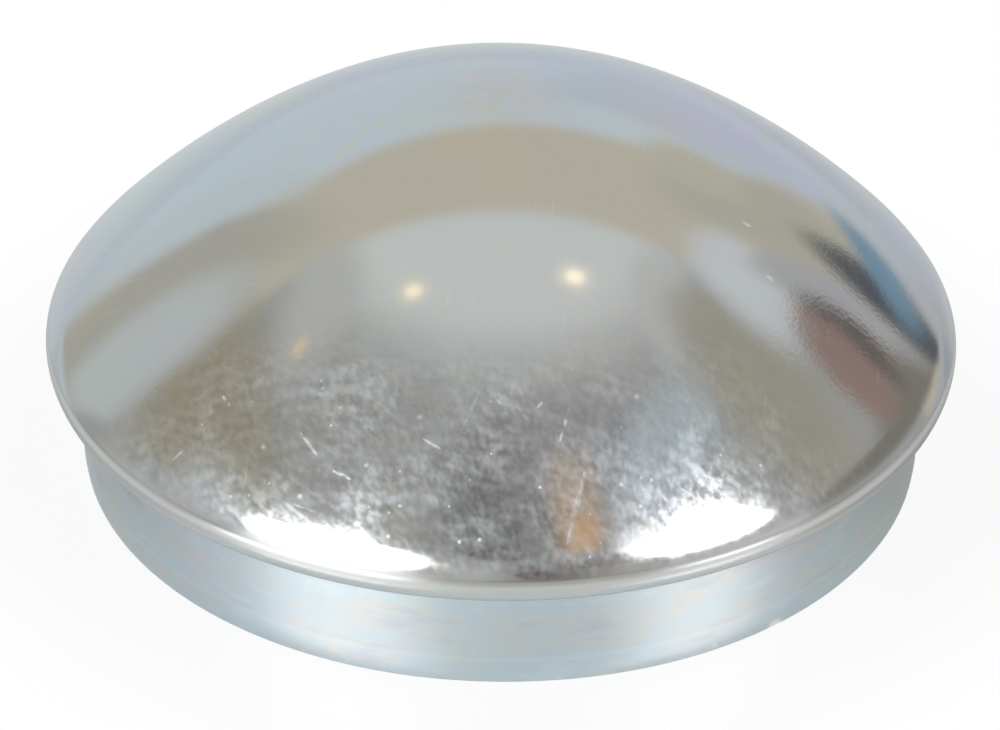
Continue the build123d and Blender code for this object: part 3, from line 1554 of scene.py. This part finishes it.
        def laid(under: Value, patches: tuple[Patch, ...]) -> Value:
            """Lays patches over a colour."""
            for patch in patches:
                under = g.group(groups[type(patch)], {"Direction": way, "Under": under, **self._patch(patch)})
            return under

        x, y, z = g.parts(way)
        low = g.product(g.smooth(z, *r.low_fade), g.smooth(y, *r.front_fade))
        colour = g.mix(low, laid(r.wall, SURROUNDINGS), r.low)
        below = g.product(g.smooth(z, *r.below_fade), g.smooth(y, *r.behind_fade))
        colour = g.mix(below, colour, g.mix(g.smooth(x, *r.side_fade), r.ground, r.side))
        colour = laid(colour, LIGHT_FEET)
        rays = g.add("ShaderNodeLightPath")
        seen = g.mix(rays.outputs["Is Camera Ray"], colour, WHITE)
        light = g.add("ShaderNodeBackground", {"Color": seen, "Strength": 1.0})
        g.add("ShaderNodeOutputWorld", {"Surface": light.outputs[0]})
        LOG.info("room: %d patches", len(SURROUNDINGS) + len(LIGHT_FEET))

    def _softbox(self, box: Softbox) -> None:
        """Adds one softbox.

        Args:
            box: its place, size and brightness.
        """
        lamp = bpy.data.lights.new(box.name, "AREA")
        lamp.shape = "ELLIPSE"
        lamp.size, lamp.size_y = box.width * MM, box.height * MM
        lamp.energy = box.radiance * math.pi * lamp.size * lamp.size_y
        lamp.color = box.colour
        made = bpy.data.objects.new(box.name, lamp)
        way = direction(box.azimuth, box.elevation)
        made.location = way * box.away * MM
        made.rotation_mode = "QUATERNION"
        turn = Matrix.Rotation(math.radians(box.roll), 3, way).to_quaternion()
        made.rotation_quaternion = turn @ way.to_track_quat("Z", "Y")
        made.visible_camera = False
        bpy.context.scene.collection.objects.link(made)
        LOG.info("%s: %.0f by %.0f mm", box.name, box.width, box.height)

    def _camera(self) -> None:
        """Adds the camera."""
        shot = self.shot
        data = bpy.data.cameras.new("camera")
        data.sensor_fit = "HORIZONTAL"
        data.sensor_width = shot.sensor
        data.lens = shot.focal * shot.sensor / shot.width
        data.clip_start, data.clip_end = shot.nearest * MM, shot.farthest * MM
        made = bpy.data.objects.new("camera", data)
        rise = math.radians(shot.rise)
        back = Vector((0.0, -math.cos(rise), math.sin(rise)))
        made.location = (Vector(shot.target) + back * shot.away) * MM
        roll = Matrix.Rotation(math.radians(shot.roll), 3, "Z").to_quaternion()
        made.rotation_mode = "QUATERNION"
        made.rotation_quaternion = back.to_track_quat("Z", "Y") @ roll
        bpy.context.scene.collection.objects.link(made)
        bpy.context.scene.camera = made


def main() -> None:
    """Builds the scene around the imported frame."""
    logging.basicConfig(level=logging.INFO, format="%(name)s %(message)s")
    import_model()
    GreaseCap(CapSizes(), ZincFinish()).build()
    Studio(FloorPaper(), Room(), Shot()).build()


if __name__ == "__main__":
    main()
